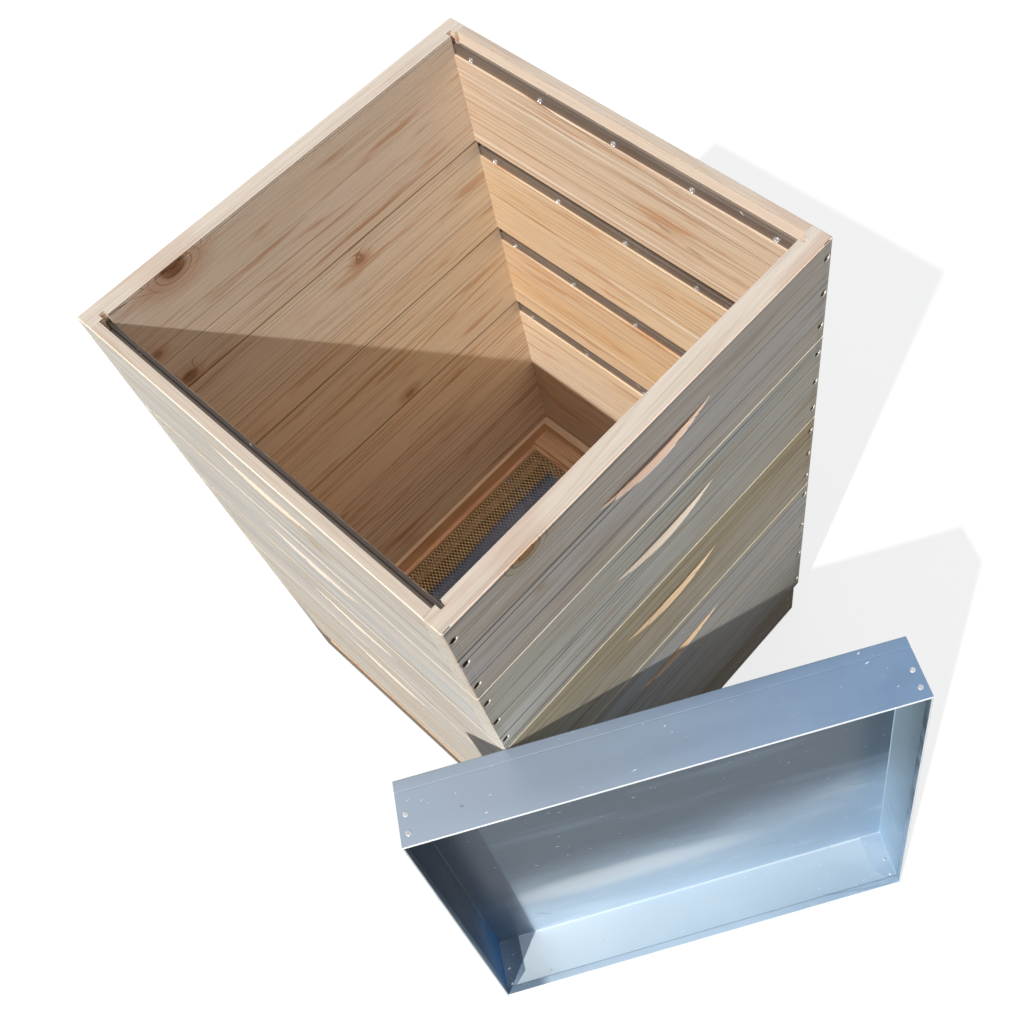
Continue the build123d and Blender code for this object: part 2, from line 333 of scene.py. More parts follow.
def worn_pine(finish, grain, weather, joints, knots):
    """Pine greyed by rain and sun: cloudy greys for each stave and each box, stained and streaked along
    the grain, with the figure dark on it, and darker near the ground, a painted shade."""
    stain = grain.drawn_out(1.5, 22, shift=3.0, detail=3.0, rough=0.6)
    streak = grain.drawn_out(1.8, 95, shift=1.0)
    patch = finish.noise(grain.along * 2.4 + 7.0, grain.across * 7, grain.depth * 7, detail=3.0)
    worn = finish.lay(
        finish.mix(grain.two, weather["blue"], weather["grey"]),
        (grain.three.ramp(0.4, 0.95) * 0.8, weather["olive"]),
        (patch.ramp(0.5, 0.64) * 0.6, weather["moss"]),
        (stain.ramp(0.46, 0.64) * 0.5, weather["stain"]),
        (stain.ramp(0.28, 0.42).flip() * 0.6, weather["moss"]),
    )
    if joints:
        worn = finish.mix(0.5, worn, finish.bands(grain.across, joints, weather["boxes"]))
    worn = finish.lay(
        worn,
        (grain.late * 0.08 + streak.ramp(0.54, 0.7) * 0.22, weather["dark"]),
        (streak.ramp(0.32, 0.44).flip() * 0.24, weather["glint"]),
        (grain.blot * 0.36, weather["amber"]),
        (grain.line * 0.72, weather["line"]),
        (grain.hair * 0.7, weather["line"]),
        (grain.vein * 0.5, weather["line"]),
        (grain.glint * 0.8, weather["glint"]),
        (grain.glue * 0.75, weather["line"]),
        (grain.along.size().above(weather["face"]) * 0.7, weather["stain"]),
    )
    if knots:
        worn = finish.lay(
            worn,
            (grain.halo * 0.35, weather["moss"]),
            (grain.core, weather["amber"]),
            (grain.whorl * 0.8, weather["line"]),
        )
    # Painted shade: darker near the ground.
    low_shade = (grain.place["Z"] + grain.cloud * 0.05).ramp(0.08, 0.27).flip()
    return finish.mix(low_shade * weather["low_shade"], worn, weather["line"])


def rub_and_shade_joints(finish, grain, worn, skin, cut, joints):
    """Each box's upper edge is rubbed pale in a ragged line, brightened by a painted highlight, and a
    painted shade lies along the foot of the next box.
    """
    for level in joints:
        over = grain.across - level
        reach = finish.noise(grain.shifted * 5, level * 9, 0.5).ramp(0.3, 0.7) * 0.003 + 0.0022
        # A pale ragged line along each box's top: partly rubbed wear, partly a painted highlight on the
        # chamfer.
        rubbed_and_lit = (over / reach).ramp(-1.2, -0.8) * over.above(0.0).flip()
        # Painted shade in the joint, along the foot of the box above.
        joint_shade = over.ramp(0.0012, 0.0026).flip() * over.above(0.0)
        worn = finish.lay(worn, (rubbed_and_lit * 0.92, paint(252, 242, 224)), (joint_shade * 0.8, paint(84, 78, 70)))
        skin = skin.larger(joint_shade * cut)
    return worn, skin


def pine(
    name, axes, heart, tones, weather, rim, back,
    joints=(), knots=(), fresh=NOWHERE, bores=NOWHERE, ledge=None,
):
    """Pine boards: bare inside and where they are cut, worn on the hive's outer faces, dull on the rim,
    and with a painted shade on the ledge under the mesh. axes are the board's own length, width and
    thickness, and heart is where the middle of that thickness lies. rim and back are where the rim and the
    back face begin, fresh where cuts begin, and bores where the screws' bores stand."""
    finish = Finish(bpy.data.materials.new(name))
    grain = pine_grain(finish, axes, heart, rim, joints, knots)
    x, y, z = (grain.place[axis] for axis in "XYZ")
    skin = x.size().above(weather["face"])
    skin = skin.larger((y * -1.0).above(weather["face"]))
    skin = skin.larger(y.above(back))
    colour = bare_pine(finish, grain, tones, rim, joints, knots)
    worn = worn_pine(finish, grain, weather, joints, knots)
    if joints:
        cut = grain.depth.size().above(fresh) * grain.top.flip()
        colour = cut_open(finish, grain, colour, tones, joints, cut, bores)
        worn, skin = rub_and_shade_joints(finish, grain, worn, skin, cut, joints)
    colour = finish.lay(colour, (grain.top * 0.74, tones["rim"]), (skin * 0.94, worn))
    # Painted shade on the ledge under the mesh.
    if ledge:
        colour = finish.mix((z - ledge).size().below(LEDGE_SKIN) * 0.9, colour, tones["under"])
    tone = finish.mix(grain.fibre.ramp(0.3, 0.7), paint(222, 216, 208), paint(255, 255, 255))
    colour = finish.mix(0.5, colour, tone, "MULTIPLY")
    relief = grain.fibre * 0.5 - grain.line * 0.6 - grain.glue * 0.7
    return finish.look(colour, grain.fibre * 0.2 + 0.52, relief, 0.0004, specular=0.12)


def dress(finish, *names):
    """Puts a finish on these CAD nodes."""
    for name in names:
        for slot in nodes[name].material_slots:
            slot.material = finish


floor_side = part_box("floor_right_skid")[1].x
floor_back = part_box("floor_right_skid")[1].y
floor_tones = {
    "cream": paint(252, 222, 186),
    "gold": paint(246, 206, 160),
    "tan": paint(240, 200, 164),
    "deep": paint(224, 172, 124),
    "line": paint(150, 100, 62),
    "amber": paint(198, 130, 74),
    "glint": paint(255, 236, 204),
    "rim": paint(252, 226, 192),
    # under is the painted shade of the ledges beneath the mesh.
    "under": paint(74, 48, 30),
}
# The floor's outer faces weather to dark greys, darker than the boxes': partly weathering, partly a painted
# shade, as the floor stands low in shade.
floor_weather = {
    "face": floor_side - SKIN,
    "blue": paint(140, 144, 144),
    "grey": paint(154, 148, 138),
    "olive": paint(136, 124, 100),
    "moss": paint(118, 106, 82),
    "stain": paint(112, 104, 90),
    "dark": paint(108, 100, 90),
    "line": paint(80, 74, 66),
    "amber": paint(134, 104, 70),
    "glint": paint(182, 176, 164),
    "low_shade": 0.2,
}
floor_wood = {
    "heart": 0.02,
    "tones": floor_tones,
    "weather": floor_weather,
    "rim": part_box("floor_left_rail")[1].z - RIM_SKIN,
    "back": floor_back - SKIN,
    "ledge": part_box("mesh_panel")[0].z,
}
floor_long = pine("floor_pine_long", "YXZ", **floor_wood)
floor_cross = pine("floor_pine_cross", "XYZ", **floor_wood)
dress(floor_long, "floor_left_skid", "floor_right_skid")
dress(floor_cross, "floor_front_bar", "floor_back_bar")


# Tray runners and slat
# Two pine runners are nailed to the skids' inner faces, and the tray slides on them. A slat of the same
# wood lies between them, under the tray's middle.
dress(floor_long, "tray_runner_left", "tray_runner_right")
dress(floor_cross, "tray_slat")


# Tray
# One galvanised sheet with its edges turned up and its back edge folded to a lip for the fingers.
# It slides on the runners and catches what falls through the mesh.
def quads(rows, columns, closed=False):
    """The four corners of every cell of a grid of points, numbered row by row. A closed grid's last
    column joins its first."""
    across = columns if closed else columns - 1
    row, column = np.meshgrid(np.arange(rows - 1), np.arange(across), indexing="ij")
    after = (column + 1) % columns
    this = row * columns
    corners = (this + column, this + after, this + columns + after, this + columns + column)
    return np.stack(corners, axis=-1).reshape(-1, 4)


def piece(name, points, faces, finish, body, slot, *replaced, crease=35.0, marks=None):
    """A new piece from its points and faces. Points that coincide are merged, so poles and seams close: a
    face that loses a corner becomes a triangle, and one that loses two goes. marks gives a number for
    every point, which the finish can read."""
    keys = np.round(points * 1e6).astype(np.int64)
    _, first, inverse = np.unique(keys, axis=0, return_index=True, return_inverse=True)
    corners = inverse.reshape(-1)[faces]
    kept = corners != np.roll(corners, 1, axis=1)
    pointed = kept.sum(axis=1) == 3
    triangles = corners[pointed][kept[pointed]].reshape(-1, 3)
    mesh = bpy.data.meshes.new(name)
    mesh.from_pydata(points[first].tolist(), [], corners[kept.all(axis=1)].tolist() + triangles.tolist())
    mesh.polygons.foreach_set("use_smooth", np.ones(len(mesh.polygons), dtype=bool))
    mesh.set_sharp_from_angle(angle=math.radians(crease))
    mesh.materials.append(finish)
    for key, values in (marks or {}).items():
        mark = mesh.attributes.new(key, "FLOAT", "POINT")
        mark.data.foreach_set("value", values[first].astype(np.float32))
    made = bpy.data.objects.new(name, mesh)
    bpy.context.scene.collection.objects.link(made)
    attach(made, body)
    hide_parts(*replaced)
    return made


def bend(turn_from, turn_to, centre, radius, steps=5):
    """Points of a round bend in a profile, from one direction in degrees to another."""
    turn = np.radians(np.linspace(turn_from, turn_to, steps))
    return np.stack([centre[0] + radius * np.cos(turn), centre[1] + radius * np.sin(turn)], axis=-1)


def folded_pan(low, high, profile, per_side, swell=None):
    """A pan folded from sheet. Its profile is a row of points (inset, rise), carried round a rectangle:
    each profile point is the rectangle drawn in by the inset and lifted by the rise. swell gives a lift
    for every (x, y), which shrinks to nothing up the sides."""
    step = np.arange(per_side) / per_side
    zero = np.zeros(per_side)
    along = np.concatenate([step, zero + 1, 1 - step, zero])
    beside = np.concatenate([zero, step, zero + 1, 1 - step])
    inset = profile[:, :1]
    x = low[0] + inset + (high[0] - low[0] - 2 * inset) * along
    y = low[1] + inset + (high[1] - low[1] - 2 * inset) * beside
    z = np.broadcast_to(profile[:, 1:], x.shape)
    if swell:
        z = z + swell(x, y, inset)
    points = np.stack([x, y, z], axis=-1)
    return points.reshape(-1, 3), quads(len(profile), 4 * per_side, closed=True)


def galvanised(name, pale, dark, bloom, place=None, shades=None, metal=0.25, rough=0.36):
    """Zinc-coated sheet: cloudy tones with faint crystals a centimetre across, wiped smears, hairline
    scratches along the sheet, short bright scuffs and dark flecks. place gives the point to work from, and
    shades the (share, colour) pairs that are laid over the tones."""
    finish = Finish(bpy.data.materials.new(name))
    x, y, z = place(finish) if place else finish.where()
    spangle = finish.add("ShaderNodeTexVoronoi", Vector=finish.point(x, y, z), Scale=70.0, Randomness=1.0)
    crystal = finish.split(Field(finish.tree, spangle.outputs["Color"]))[0]
    smear = finish.noise(x * 5, y * 8, z * 8, detail=4.0, rough=0.55)
    wipe = finish.noise(x * 4, y * 22, z * 22, detail=3.0).ramp(0.52, 0.8)
    hairline = finish.noise(x * 9, y * 620, z * 620, detail=2.0).ramp(0.6, 0.75)
    slant = x * 0.3
    scuff = finish.noise(x * 26, (y + slant) * 330, (z + slant) * 330, detail=1.0).ramp(0.76, 0.8)
    fleck = finish.noise(x * 95, y * 95, z * 95, detail=1.0).ramp(0.77, 0.8)
    colour = finish.mix((smear * 0.92 + crystal * 0.08).ramp(0.25, 0.75), dark, pale)
    if shades:
        colour = finish.lay(colour, *shades(finish, x, y, z, smear))
    colour = finish.lay(
        colour,
        (wipe * 0.3, bloom),
        (scuff * 0.7, paint(236, 242, 248)),
        (fleck * 0.45, paint(84, 94, 106)),
    )
    gloss = smear * 0.14 + crystal * 0.02 + wipe * 0.08 + (rough - 0.12)
    relief = hairline * 0.4 + smear * 0.6
    return finish.look(colour, gloss, relief, 0.0001, metal=metal)


PAN_NODES = ("tray_sheet", "tray_left_edge", "tray_right_edge", "tray_front_edge")
GRIP_NODES = ("tray_back_edge", "tray_grip")
SHEET = 0.001
TRAY_FOLD = 0.0022
BURR = 0.0004
tray_low, tray_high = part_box("tray_sheet")
edge_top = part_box("tray_left_edge")[1].z - tray_low.z
tray_half = (tray_high.x - tray_low.x) / 2
tray_profile = np.concatenate([
    np.stack([np.linspace(tray_half, TRAY_FOLD * 1.4, 10), np.zeros(10)], axis=-1),
    bend(270, 180, (TRAY_FOLD, TRAY_FOLD), TRAY_FOLD),
    [[0.0, edge_top - BURR], [SHEET * 0.3, edge_top], [SHEET * 0.7, edge_top], [SHEET, edge_top - BURR]],
    bend(180, 270, (TRAY_FOLD, TRAY_FOLD), TRAY_FOLD - SHEET),
    np.stack([np.linspace(TRAY_FOLD * 1.4, tray_half, 10), np.full(10, SHEET)], axis=-1),
])
tray_points, tray_faces = folded_pan(tray_low, tray_high, tray_profile, per_side=24)
tray_points[:, 2] += tray_low.z
DARK_BORDER_REACH = 0.029
DARK_BORDER_FADE = 0.01


def from_edges(x, y, low, high):
    """Distance from the nearest edge of a level rectangle that is even about x = 0."""
    beside = x.size() * -1.0 + high.x
    before = (y - (high.y + low.y) / 2).size() * -1.0 + (high.y - low.y) / 2
    return beside.math("MINIMUM", before)


def debris_and_shade(finish, x, y, z, smear):
    """A dark border along the tray's edges, ragged on its inner side: wax crumbs and dust, with a painted
    shade near the walls.
    """
    ragged = from_edges(x, y, tray_low, tray_high) + smear * 0.02
    # Painted shade and crumbs in the border.
    border = ragged.ramp(DARK_BORDER_REACH, DARK_BORDER_REACH + DARK_BORDER_FADE).flip()
    crumbs = finish.noise(x * 260, y * 260, z * 260, detail=1.0).ramp(0.35, 0.6)
    return [(border * 0.95, paint(66, 44, 28)), (border * crumbs * 0.4, paint(52, 34, 22))]


tray_zinc = galvanised(
    "tray_zinc", paint(150, 164, 190), paint(122, 138, 166), paint(172, 184, 206), shades=debris_and_shade, metal=0.3
)
piece("tray_pan", tray_points, tray_faces, tray_zinc, "tray", "tray", *PAN_NODES)
dress(tray_zinc, *GRIP_NODES)


# Mesh
# Expanded steel: a slit sheet pulled open into staggered diamonds, galvanised after that.
# It lies on the lower frame's ledges, and bees can't pass through it.
LONG_WAY = 0.0097
SHORT_WAY = 0.00595
BOND = 0.0018
STRAND = 0.0016
STRAND_SECTION = np.array([[-0.5, 0.15], [0.5, 0.0], [0.32, 1.0]])


def expanded_metal(low, high):
    """Strands that zigzag from side to side. Strand k swings between k and k + 1 half short ways, and at
    each bond lies beside its neighbour. Each strand is a three-sided bar with one high edge."""
    bonds = int((high.x - low.x) / (LONG_WAY / 2))
    strands = int((high.y - low.y) / (SHORT_WAY / 2)) - 1
    bond = np.repeat(np.arange(bonds), 2)
    x = (bond - (bonds - 1) / 2) * LONG_WAY / 2 + np.tile([-BOND / 2, BOND / 2], bonds)
    strand = np.arange(strands)[:, None]
    raised = (bond[None] + strand) % 2
    y = low.y + SHORT_WAY / 2 * (strand + raised) + (0.5 - raised) * STRAND * 0.9 + STRAND / 2
    shape = (*raised.shape, len(STRAND_SECTION))
    points = np.stack([
        np.broadcast_to(x[None, :, None], shape),
        y[..., None] + STRAND_SECTION[:, 0] * STRAND,
        np.broadcast_to(low.z + STRAND_SECTION[:, 1] * (high.z - low.z), shape),
    ], axis=-1)
    rows = 2 * bonds
    last = 3 * rows - 1
    around = quads(rows, 3, closed=True)[:, ::-1]
    ends = np.array([[0, 1, 2, 2], [last, last - 1, last - 2, last - 2]])
    faces = np.concatenate([around, ends])
    faces = faces[None] + (np.arange(strands) * 3 * rows)[:, None, None]
    return points.reshape(-1, 3), faces.reshape(-1, 4)


PROPOLIS_REACH = 0.056
PROPOLIS_FADE = 0.008
mesh_low, mesh_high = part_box("mesh_panel")


def propolis(finish, x, y, z, smear):
    """Bees varnish the mesh brown near the walls: a border that is widest where the noise is low."""
    ragged = from_edges(x, y, mesh_low, mesh_high) + smear * 0.02
    border = ragged.ramp(PROPOLIS_REACH, PROPOLIS_REACH + PROPOLIS_FADE).flip()
    return [(border * 0.94, paint(255, 226, 172))]


mesh_zinc = galvanised(
    "mesh_zinc", paint(190, 204, 228), paint(160, 176, 204), paint(210, 220, 236), shades=propolis,
    metal=0.12, rough=0.3,
)
mesh_points, mesh_faces = expanded_metal(mesh_low, mesh_high)
piece("mesh_expanded", mesh_points, mesh_faces, mesh_zinc, "floor", "mesh", "mesh_panel", crease=180.0)


# Mesh strips and batten
# Four thin pine strips are pinned over the mesh's edges and hold it down on its ledges. A thicker batten
# of the same wood lies across the back, against the back rail.
dress(floor_long, "mesh_strip_left", "mesh_strip_right")
dress(floor_cross, "mesh_strip_front", "mesh_strip_back", "floor_batten")


# Floor, upper frame
# Two side rails and a back rail of planed pine lie on the lower frame and carry the brood box. A low
# sill closes the front, and the bees' entrance is the slot left open above it.
dress(floor_long, "floor_left_rail", "floor_right_rail")
dress(floor_cross, "floor_back_rail", "floor_sill")


# Box boards
# Four boxes of 23 mm pine: the side boards run the full length, the front and back boards fit between
# them. The outer faces have greyed in the weather, and the planed rims and handholds are still pale.
BOXES = ("brood", "super_1", "super_2", "super_3")
CUT_REACH = 0.0113
SCREW_INSET = 0.0075
board_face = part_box("brood_right_side")[1].x
board_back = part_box("brood_right_side")[0].x
rim_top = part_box("super_3_right_side")[1].z
box_joints = [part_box(box + "_right_side")[0].z for box in BOXES]
box_tones = {
    "cream": paint(254, 244, 228),
    "gold": paint(252, 232, 202),
    "tan": paint(250, 238, 226),
    "deep": paint(228, 188, 144),
    "line": paint(152, 100, 60),
    "amber": paint(198, 130, 70),
    "glint": paint(255, 250, 240),
    "cuts": (paint(255, 220, 180), paint(255, 226, 186), paint(255, 240, 222), paint(255, 220, 198)),
    "boards": (paint(255, 226, 186), paint(255, 242, 214), paint(255, 246, 226), paint(252, 244, 232)),
    "rim": paint(180, 171, 163),
}
# The end boards' inside tones are darker than the side boards', to make up for the sun that falls full on
# the back board: painted shade.
end_tones = {
    **box_tones,
    "cream": paint(236, 220, 198),
    "gold": paint(234, 206, 168),
    "tan": paint(228, 208, 188),
    "deep": paint(212, 164, 114),
    "cuts": (paint(255, 238, 222),) * len(BOXES),
    "boards": (paint(252, 238, 216), paint(232, 198, 152), paint(236, 212, 176), paint(230, 210, 184)),
}
# The side boards' outer tones are paler than the end boards', to make up for the sun that only grazes the
# sides: painted light.
box_weather = {
    "face": board_face - SKIN,
    "blue": paint(230, 239, 243),
    "grey": paint(248, 241, 236),
    "olive": paint(228, 220, 194),
    "moss": paint(208, 184, 130),
    "stain": paint(230, 226, 216),
    "dark": paint(184, 182, 176),
    "line": paint(100, 94, 86),
    "amber": paint(190, 146, 90),
    "glint": paint(255, 252, 246),
    "boxes": (paint(246, 244, 240), paint(236, 222, 186), paint(250, 252, 244), paint(250, 243, 242)),
    "low_shade": 0.6,
}
# The end boards' outer tones are darker than the sides', as the sun falls full on the front: painted shade.
front_weather = {
    **box_weather,
    "olive": paint(222, 212, 192),
    "moss": paint(212, 198, 170),
    "dark": paint(190, 186, 180),
    "line": paint(140, 132, 120),
    "amber": paint(220, 182, 136),
    "boxes": (paint(222, 208, 192), paint(214, 208, 202), paint(210, 208, 206), paint(226, 224, 222)),
    "low_shade": 0.0,
}
side_knots = (
    (-1, -0.155, 0.826, 0.015),
    (-1, -0.216, 0.747, 0.006),
    (-1, -0.201, 0.692, 0.008),
    (-1, 0.034, 0.655, 0.006),
    (-1, 0.027, 0.385, 0.006),
    (1, -0.157, 0.829, 0.013),
    (1, -0.155, 0.755, 0.004),
)
end_knots = ((1, 0.149, 0.565, 0.005), (-1, 0.06, 0.74, 0.009))
box_wood = {
    "heart": (board_face + board_back) / 2,
    "joints": box_joints,
    "rim": rim_top - RIM_SKIN,
    "fresh": board_face - CUT_REACH,
    "back": board_face - SKIN,
}
side_pine = pine(
    "side_pine", "YZX", tones=box_tones, weather=box_weather, knots=side_knots,
    bores=board_face - SCREW_INSET, **box_wood,
)
end_pine = pine("end_pine", "XZY", tones=end_tones, weather=front_weather, knots=end_knots, **box_wood)
for box in BOXES:
    dress(side_pine, box + "_left_side", box + "_right_side")
    dress(end_pine, box + "_front_board", box + "_back_board")


# Frame rails
# A strip of dull steel sheet, folded to a flange, an upright with a hemmed top and a leg, stands in each
# rebate. Round-headed screws hold it, and the frames hang on its upper edge.
top_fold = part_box("super_3_back_rail")[1].z


def darker_top_fold(finish, x, y, z, smear):
    """The topmost rails are darker along the upper fold."""
    return [(z.above(top_fold - SKIN) * 0.85, paint(84, 75, 69))]


rail_steel = galvanised(
    "rail_steel", paint(138, 125, 115), paint(114, 102, 94), paint(146, 136, 128), shades=darker_top_fold,
    metal=0.3, rough=0.42,
)
for box in BOXES:
    dress(rail_steel, box + "_front_rail", box + "_back_rail")


# Screws
# Steel wood screws with a cross recess. Black ones with flat heads are sunk in bores at the corners and
# in the floor frame, and bright zinc-plated ones with round heads hold the rails.
CROSS_ARM = 0.17
CROSS_SIDE = 0.08
CROSS_REACH = 0.62
CROSS_END = 0.12
CROSS_DEPTH = 1.1


def screw_form(head_r, dome, edge, shank_r, length, segments=20):
    """One screw along +Z with its seat at z = 0, as rings of points: a domed top with a cross pressed
    into it, the head's side, its flat underside, the shank, and a point. The cross's sizes are shares of
    the head's radius, and its depth is a share of the dome."""
    share = np.array([0.0, 0.12, 0.22, 0.34, 0.46, 0.58, 0.72, 0.86, 1.0])[:, None]
    turn = np.linspace(0, 2 * np.pi, segments, endpoint=False)
    top_r = np.broadcast_to(share * head_r, (len(share), segments))
    aside = np.minimum(np.abs(np.sin(turn)), np.abs(np.cos(turn))) * share
    across = np.clip((CROSS_ARM - aside) / CROSS_SIDE, 0, 1)
    recess = across * np.clip((CROSS_REACH - share) / CROSS_END, 0, 1)
    top_z = edge + dome * (1 - share**2) - recess * dome * CROSS_DEPTH
    body_r = np.array([head_r, shank_r, shank_r, shank_r * 0.6, 0.0])
    body_z = np.array([0.0, 0.0, -length * 0.8, -length * 0.93, -length])
    body = (len(body_r), segments)
    radius = np.concatenate([top_r, np.broadcast_to(body_r[:, None], body)])
    rise = np.concatenate([top_z, np.broadcast_to(body_z[:, None], body)])
    points = np.stack([radius * np.cos(turn), radius * np.sin(turn), rise], axis=-1)
    return points.reshape(-1, 3), quads(len(radius), segments, closed=True)


def many(form, seats, outward, upward):
    """Copies of one form: each point is a seat plus the form's x, y and z along the copy's own axes.
    upward is the direction of its y, and outward of its z."""
    points, faces = form
    third = np.asarray(outward, float)
    second = np.broadcast_to(np.asarray(upward, float), third.shape)
    first = np.cross(second, third)
    axes = np.stack([first, second, third], axis=-2)
    placed = np.asarray(seats)[:, None] + np.einsum("pk,nkj->npj", points, axes)
    numbered = faces[None] + (np.arange(len(seats)) * len(points))[:, None, None]
    return placed.reshape(-1, 3), numbered.reshape(-1, 4)


SUNK_R = 0.0042
SUNK_EDGE = 0.0025
SUNK_DOME = 0.0006
SUNK_SHANK_R = 0.00225
SUNK_LENGTH = 0.0525
CORNER_ROWS = (4, 3, 3, 3)
SIDE_UP = (0.0, 0.6, 0.8)


def side_seats(node, rows):
    """Seats of the sunk screws in both side faces, in two columns that span the node's box."""
    low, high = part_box(node)
    y = np.linspace(low.y + SUNK_R, high.y - SUNK_R, 2)
    z = np.linspace(low.z + SUNK_R, high.z - SUNK_R, rows)
    side, y, z = (grid.ravel() for grid in np.meshgrid([-1.0, 1.0], y, z, indexing="ij"))
    outward = np.stack([side, 0 * side, 0 * side], axis=-1)
    return np.stack([side * (high.x - SUNK_EDGE), y, z], axis=-1), outward


RAIL_HEAD_R = 0.0035
RAIL_HEAD_EDGE = 0.0009
RAIL_HEAD_DOME = 0.0011
RAIL_SHANK_R = 0.0015
RAIL_SCREW_LENGTH = 0.011
RAIL_SCREWS = 5
RAIL_UP = (0.6, 0.0, 0.8)
sunk_form = screw_form(SUNK_R, SUNK_DOME, SUNK_EDGE - SUNK_DOME, SUNK_SHANK_R, SUNK_LENGTH)
black_zinc = galvanised(
    "sunk_screw_zinc", paint(46, 42, 38), paint(30, 27, 25), paint(58, 54, 50), metal=0.1, rough=0.5
)
rail_form = screw_form(RAIL_HEAD_R, RAIL_HEAD_DOME, RAIL_HEAD_EDGE, RAIL_SHANK_R, RAIL_SCREW_LENGTH)
zinc = galvanised(
    "screw_zinc", paint(232, 234, 240), paint(196, 200, 208), paint(244, 244, 248), metal=0.7, rough=0.26
)
for box, rows in zip(BOXES, CORNER_ROWS):
    body = "brood_box" if box == "brood" else box
    seats, outward = side_seats(box + "_corner_screws", rows)
    made = many(sunk_form, seats, outward, SIDE_UP)
    piece(box + "_sunk_screws", *made, black_zinc, body, "fastener", box + "_corner_screws")

    low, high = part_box(box + "_rail_screws")
    x = np.tile(np.linspace(low.x + RAIL_HEAD_R, high.x - RAIL_HEAD_R, RAIL_SCREWS), 2)
    inward = np.repeat([1.0, -1.0], RAIL_SCREWS)
    seats = np.stack([x, -inward * (high.y - RAIL_SCREW_LENGTH), 0 * x + (low.z + high.z) / 2], axis=-1)
    made = many(rail_form, seats, np.stack([0 * x, inward, 0 * x], axis=-1), RAIL_UP)
    piece(box + "_round_screws", *made, zinc, body, "fastener", box + "_rail_screws")

FLOOR_JOINED = ("floor_front_bar", "floor_sill", "floor_back_bar", "floor_back_rail")
crossings = [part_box(node) for node in FLOOR_JOINED]
front_y = sum(corner.y for corner in crossings[1]) / 2
back_y = sum(corner.y for corner in crossings[3]) / 2
heights = [sum(corner.z for corner in box) / 2 for box in crossings]
y = np.tile([front_y, front_y, back_y, back_y], 2)
side = np.repeat([-1.0, 1.0], 4)
seat_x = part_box("floor_screws")[1].x - SUNK_EDGE
seats = np.stack([side * seat_x, y, np.tile(heights, 2)], axis=-1)
made = many(sunk_form, seats, np.stack([side, 0 * side, 0 * side], axis=-1), SIDE_UP)
piece("floor_sunk_screws", *made, black_zinc, "floor", "fastener", "floor_screws")


# Lid
# One galvanised sheet folded into a shallow pan, hemmed along its rim, lapped and riveted at the corners.
# It leans against the hive's front right corner with its open side out.
LID = 0.536
SKIRT = 0.072
HEM = 0.010
LID_HEADING = math.radians(56.7)
LID_LEAN = math.radians(7.7)
LID_TOUCH = 0.117
LID_GAP = 0.0003
LID_FOLD = 0.0016
CREASE = 0.0136
CREASE_HALF = 0.0008
CREASE_FLAT = 0.0004
CREASE_DEPTH = 0.0004
MID_SKIRT = 0.03
HIGH_SKIRT = 0.05
RAW_EDGE = 0.0002
SHEET_RINGS = 26
SWELL = 0.0011
SWELL_FREE = 0.09
ARRIS = 0.0015
lid_along = Vector((math.cos(LID_HEADING), math.sin(LID_HEADING), 0.0))
lid_away = Vector((math.sin(LID_HEADING), -math.cos(LID_HEADING), 0.0))
lid_up = Vector((0.0, 0.0, math.cos(LID_LEAN))) - lid_away * math.sin(LID_LEAN)
lid_out = lid_along.cross(lid_up)
arris = (Vector((board_face, ARRIS - board_face, 0.0)), Vector((board_face - ARRIS, -board_face, 0.0)))
corner = max(arris, key=lid_away.dot)
lid_foot = corner + lid_away * LID_GAP - lid_along * (LID_TOUCH - LID / 2) - lid_up * LID
lid_foot.z = 0.0
lid_frame = Matrix((lid_along, lid_up, lid_out)).transposed()


def on_lid(points):
    """Points given across, up and out of the lid's sheet, from the middle of its lower edge."""
    return points @ np.array(lid_frame).T + np.array(lid_foot)


def sheet_swell(x, y, inset):
    """Slow waves of the flat sheet, about a millimetre high at most: three sines of x and y, which die
    out towards the folded edges."""
    free = np.clip(inset / SWELL_FREE, 0, 1) ** 2
    wave = np.sin(7 * x + 4 * y) * 0.4 + np.sin(13 * y - 6 * x + 1.0) * 0.35 + np.sin(17 * x + 2.0) * 0.25
    return free * wave * SWELL


hem_end = SKIRT - HEM
lid_profile = np.concatenate([
    np.stack([np.linspace(LID / 2, LID_FOLD * 1.5, SHEET_RINGS), np.zeros(SHEET_RINGS)], axis=-1),
    bend(270, 180, (LID_FOLD, LID_FOLD), LID_FOLD),
    [[0.0, CREASE - CREASE_HALF], [CREASE_DEPTH, CREASE - CREASE_FLAT]],
    [[CREASE_DEPTH, CREASE + CREASE_FLAT], [0.0, CREASE + CREASE_HALF]],
    [[0.0, MID_SKIRT], [0.0, HIGH_SKIRT]],
    bend(180, 0, (SHEET, SKIRT - SHEET), SHEET, 9),
    [[2 * SHEET, hem_end], [1.1 * SHEET, hem_end], [SHEET, hem_end - RAW_EDGE], [SHEET, MID_SKIRT]],
    bend(180, 270, (LID_FOLD, LID_FOLD), LID_FOLD - SHEET),
    np.stack([np.linspace(LID_FOLD * 1.5, LID / 2, SHEET_RINGS), np.full(SHEET_RINGS, SHEET)], axis=-1),
])
lid_points, lid_faces = folded_pan(
    (-LID / 2, 0.0), (LID / 2, LID), lid_profile, per_side=40, swell=sheet_swell
)
per_ring = len(lid_points) // len(lid_profile)
inner_ring = np.arange(len(lid_profile)) > len(lid_profile) // 2
lid_inside = np.repeat(inner_ring.astype(float), per_ring)


def over_lid(finish):
    """The point across, up and out of the lid's sheet, from the middle of its lower edge."""
    here = Field(finish.tree, finish.add("ShaderNodeTexCoord").outputs["Object"])
    kind = {"vector_type": "TEXTURE"}
    turn = lid_frame.to_euler()
    turned = finish.add("ShaderNodeMapping", kind, Vector=here, Location=lid_foot, Rotation=turn)
    return finish.split(Field(finish.tree, turned.outputs[0]))


